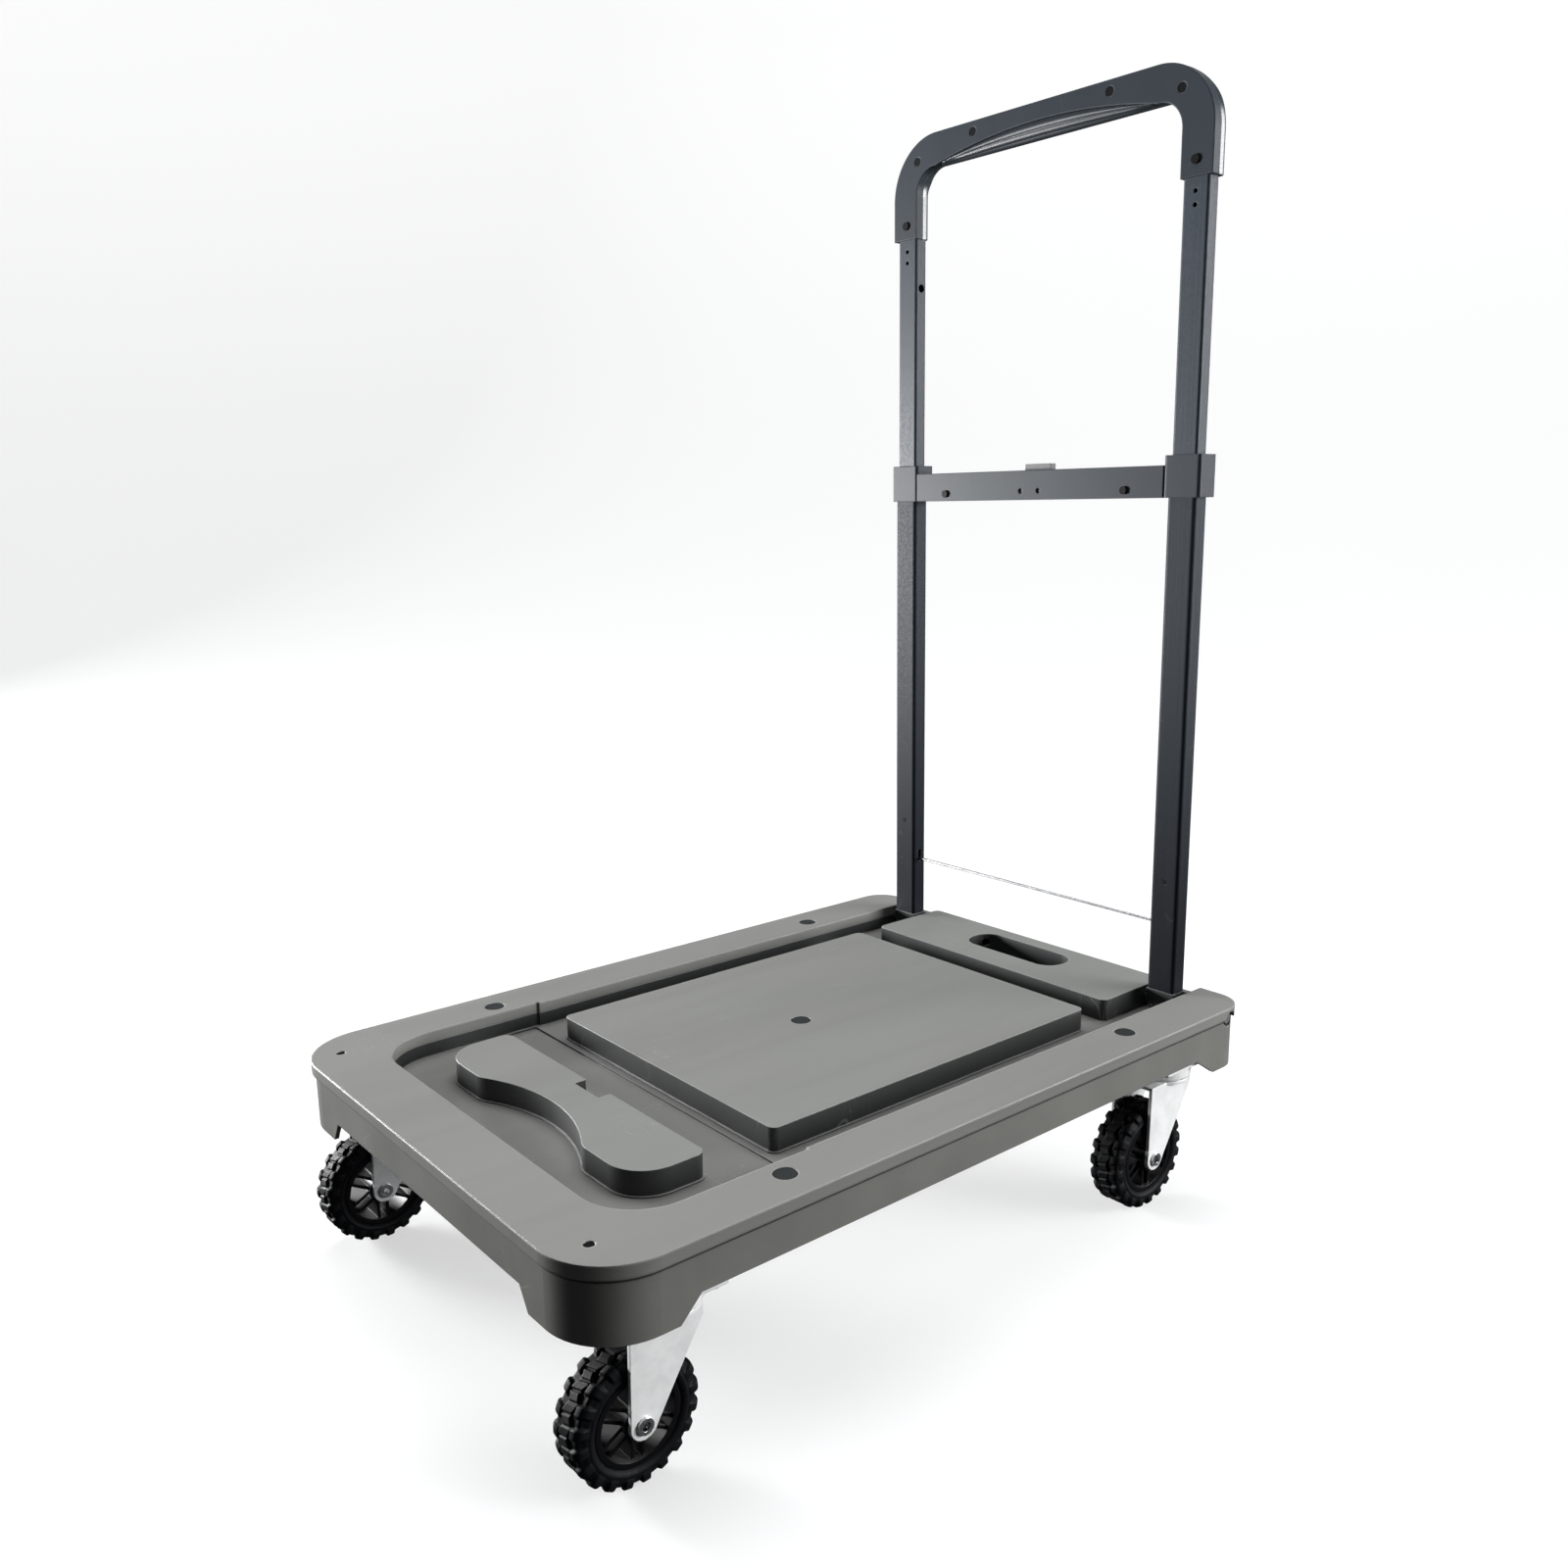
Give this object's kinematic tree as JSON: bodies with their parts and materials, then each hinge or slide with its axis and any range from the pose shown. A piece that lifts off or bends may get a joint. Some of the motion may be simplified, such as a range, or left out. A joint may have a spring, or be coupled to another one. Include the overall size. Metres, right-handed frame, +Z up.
{
  "type": "folding platform cart",
  "caption": "Low platform cart with a moulded plastic deck, swivel casters and a telescopic handle that folds flat into channels in the deck.",
  "frame": {"origin": "on the floor, under the middle of the deck", "axes": "+Z up, +Y towards the end that carries the handle, -Y the front that the handle folds towards, +X to the right when standing behind the front and looking along +Y"},
  "size_m": [0.396, 0.578, 0.8096],
  "materials": {
    "deck_grey": "moulded, fine satin",
    "deck_grey_sides": "moulded, fine satin",
    "deck_tray": "moulded, fine satin",
    "panel_grey": "moulded, fine satin",
    "plug_charcoal": "matte",
    "zinc": "zinc plated",
    "caster_zinc": "bright zinc plate on pressed steel",
    "ball_steel": "polished",
    "crossbar_plastic": "satin",
    "spring_steel": "drawn wire",
    "wire_steel": "drawn wire",
    "button_black": "satin",
    "grip_shell": "satin",
    "grip_shell_gloss": "semi-gloss",
    "dark_screw": "blackened",
    "foot_plastic": "satin",
    "lower_tube_paint": "powder coat, satin",
    "upper_tube_paint": "powder coat, satin",
    "hub_black": "moulded, semi-gloss",
    "tyre_black": "moulded with tread blocks"
  },
  "bodies": {
    "deck": {"rim_cap": "deck_grey", "skirt_frame": "deck_grey_sides", "deck_tray": "deck_tray", "platform_panel": "panel_grey", "front_pad": "panel_grey", "rear_panel": "panel_grey", "rail_plugs": "plug_charcoal", "centre_plug": "plug_charcoal", "rim_screws": "zinc", "front_screws": "dark_screw", "pivot_bolts": "zinc", "pivot_nuts": "zinc", "latch_strikers": "zinc", "caster_plates": "caster_zinc", "caster_screws": "zinc", "kingpins": "caster_zinc", "swivel_balls": "ball_steel"},
    "lower_handle": {"lower_tube_left": "lower_tube_paint", "lower_tube_right": "lower_tube_paint", "pivot_shoe_left": "foot_plastic", "pivot_shoe_right": "foot_plastic", "collar_left": "crossbar_plastic", "collar_right": "crossbar_plastic", "crossbar_front": "crossbar_plastic", "crossbar_back": "crossbar_plastic", "crossbar_screws": "dark_screw", "spring_stop_pins": "dark_screw", "latch_springs": "spring_steel", "button_spring": "spring_steel"},
    "fold_release": {"release_wire": "wire_steel", "latch_slider_left": "zinc", "latch_slider_right": "zinc"},
    "lock_button": {"lock_button": "button_black"},
    "lock_pin_left": {"lock_pin_left": "zinc"},
    "lock_pin_right": {"lock_pin_right": "zinc"},
    "upper_handle": {"upper_tube_left": "upper_tube_paint", "upper_tube_right": "upper_tube_paint", "tube_foot_left": "foot_plastic", "tube_foot_right": "foot_plastic", "grip_front": "grip_shell", "grip_back": "grip_shell_gloss", "grip_screws": "dark_screw"},
    "swivel_front_left": {"fork_front_left": "caster_zinc", "axle_front_left": "zinc"},
    "wheel_front_left": {"hub_front_left": "hub_black", "tyre_front_left": "tyre_black"},
    "swivel_front_right": {"fork_front_right": "caster_zinc", "axle_front_right": "zinc"},
    "wheel_front_right": {"hub_front_right": "hub_black", "tyre_front_right": "tyre_black"},
    "swivel_rear_left": {"fork_rear_left": "caster_zinc", "axle_rear_left": "zinc"},
    "wheel_rear_left": {"hub_rear_left": "hub_black", "tyre_rear_left": "tyre_black"},
    "swivel_rear_right": {"fork_rear_right": "caster_zinc", "axle_rear_right": "zinc"},
    "wheel_rear_right": {"hub_rear_right": "hub_black", "tyre_rear_right": "tyre_black"}
  },
  "joints": [
    {"name": "handle_fold", "type": "hinge", "parent": "deck", "child": "lower_handle", "pos_m": [0, 0.269, 0.1356], "axis": [1, 0, 0], "range_deg": [0, 88.2]},
    {"name": "fold_release", "type": "slide", "parent": "lower_handle", "child": "fold_release", "axis": [0, 0, 1], "range_m": [0, 0.006], "stiffness_N_per_m": 300, "springref_m": -0.01, "deforming": ["latch_springs"]},
    {"name": "lock_button_press", "type": "slide", "parent": "lower_handle", "child": "lock_button", "axis": [0, 0, -1], "range_m": [0, 0.005], "stiffness_N_per_m": 400, "springref_m": -0.008, "deforming": ["button_spring"]},
    {"name": "lock_pin_left_slide", "type": "slide", "parent": "lower_handle", "child": "lock_pin_left", "axis": [1, 0, 0], "range_m": [0, 0.005]},
    {"name": "lock_pin_right_slide", "type": "slide", "parent": "lower_handle", "child": "lock_pin_right", "axis": [-1, 0, 0], "range_m": [0, 0.005]},
    {"name": "handle_telescope", "type": "slide", "parent": "lower_handle", "child": "upper_handle", "axis": [0, 0, 1], "range_m": [-0.164, 0]},
    {"name": "caster_swivel_front_left", "type": "hinge", "parent": "deck", "child": "swivel_front_left", "pos_m": [-0.166, -0.223, 0.09], "axis": [0, 0, 1], "continuous": true},
    {"name": "wheel_spin_front_left", "type": "hinge", "parent": "swivel_front_left", "child": "wheel_front_left", "pos_m": [-0.166, -0.248, 0.04], "axis": [1, 0, 0], "continuous": true},
    {"name": "caster_swivel_front_right", "type": "hinge", "parent": "deck", "child": "swivel_front_right", "pos_m": [0.166, -0.223, 0.09], "axis": [0, 0, 1], "continuous": true},
    {"name": "wheel_spin_front_right", "type": "hinge", "parent": "swivel_front_right", "child": "wheel_front_right", "pos_m": [0.166, -0.248, 0.04], "axis": [1, 0, 0], "continuous": true},
    {"name": "caster_swivel_rear_left", "type": "hinge", "parent": "deck", "child": "swivel_rear_left", "pos_m": [-0.166, 0.227, 0.09], "axis": [0, 0, 1], "continuous": true},
    {"name": "wheel_spin_rear_left", "type": "hinge", "parent": "swivel_rear_left", "child": "wheel_rear_left", "pos_m": [-0.166, 0.202, 0.04], "axis": [1, 0, 0], "continuous": true},
    {"name": "caster_swivel_rear_right", "type": "hinge", "parent": "deck", "child": "swivel_rear_right", "pos_m": [0.166, 0.227, 0.09], "axis": [0, 0, 1], "continuous": true},
    {"name": "wheel_spin_rear_right", "type": "hinge", "parent": "swivel_rear_right", "child": "wheel_rear_right", "pos_m": [0.166, 0.202, 0.04], "axis": [1, 0, 0], "continuous": true}
  ],
  "couplings": [
    {"joint": "lock_pin_left_slide", "follows": "lock_button_press", "ratio": 1},
    {"joint": "lock_pin_right_slide", "follows": "lock_button_press", "ratio": 1}
  ]
}
